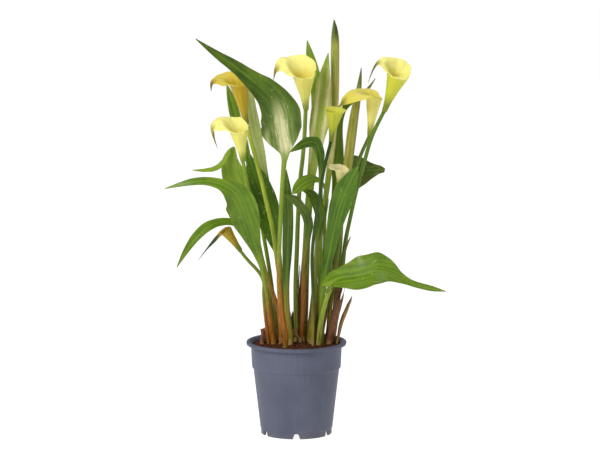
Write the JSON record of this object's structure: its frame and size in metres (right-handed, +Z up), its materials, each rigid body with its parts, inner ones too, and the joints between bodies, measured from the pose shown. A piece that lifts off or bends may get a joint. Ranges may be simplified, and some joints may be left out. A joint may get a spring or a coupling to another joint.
{
  "type": "potted calla lily",
  "caption": "Calla lily in a slate nursery pot: yellow funnel spathes with pointed cusps over arching green, partly variegated leaves.",
  "frame": {"origin": "centre of the pot's base on the plane that it stands on", "axes": "+Z up along the plant, -Y the front that shows best, +X to the right"},
  "size_m": [0.3313, 0.1789, 0.494],
  "materials": {
    "pot": "satin",
    "soil": "matte",
    "tuber": "matte",
    "leaf": "satin",
    "leaf_variegated": "satin",
    "stem": "satin",
    "sheath": "matte",
    "spathe": "satin",
    "spathe_cream": "satin",
    "spathe_ochre": "satin",
    "spadix": "matte"
  },
  "bodies": {
    "root": {"bract_right": "sheath", "leaf_arching_centre": "leaf", "leaf_back_right": "leaf", "leaf_behind_top_flower": "leaf", "leaf_big_variegated": "leaf_variegated", "leaf_broad_right": "leaf", "leaf_curled_centre": "leaf", "leaf_curled_strip": "leaf", "leaf_dark_centre_left": "leaf", "leaf_hooked_centre": "leaf", "leaf_left_drooping": "leaf", "leaf_left_folded": "leaf", "leaf_left_hooked": "leaf", "leaf_low_right": "leaf", "leaf_narrow_back_left": "leaf", "leaf_pale_upright": "leaf", "leaf_rolled_right": "leaf", "leaf_small_centre": "leaf", "leaf_speckled_back": "leaf", "leaf_tall_rolled": "leaf", "leaf_upright_variegated": "leaf_variegated", "pot": "pot", "sheath_dark_centre": "sheath", "sheath_flap_centre": "sheath", "sheath_thin_right": "sheath", "sheath_wide_right": "sheath", "soil": "soil", "spadix_back_right": "spadix", "spadix_cup": "spadix", "spadix_left": "spadix", "spadix_low_left_bud": "spadix", "spadix_small_right": "spadix", "spadix_top_centre": "spadix", "spadix_top_right": "spadix", "spadix_upper_left": "spadix", "spathe_back_right": "spathe", "spathe_cup": "spathe", "spathe_left": "spathe", "spathe_low_left_bud": "spathe_ochre", "spathe_small_right": "spathe_cream", "spathe_top_centre": "spathe", "spathe_top_right": "spathe", "spathe_upper_left": "spathe", "stem_back_right": "stem", "stem_cup": "stem", "stem_left": "stem", "stem_low_left_bud": "stem", "stem_small_right": "stem", "stem_top_centre": "stem", "stem_top_right": "stem", "stem_upper_left": "stem", "stub_centre": "sheath", "stub_far_left": "sheath", "stub_left": "sheath", "tuber_left": "tuber", "tuber_right": "tuber"}
  },
  "joints": []
}
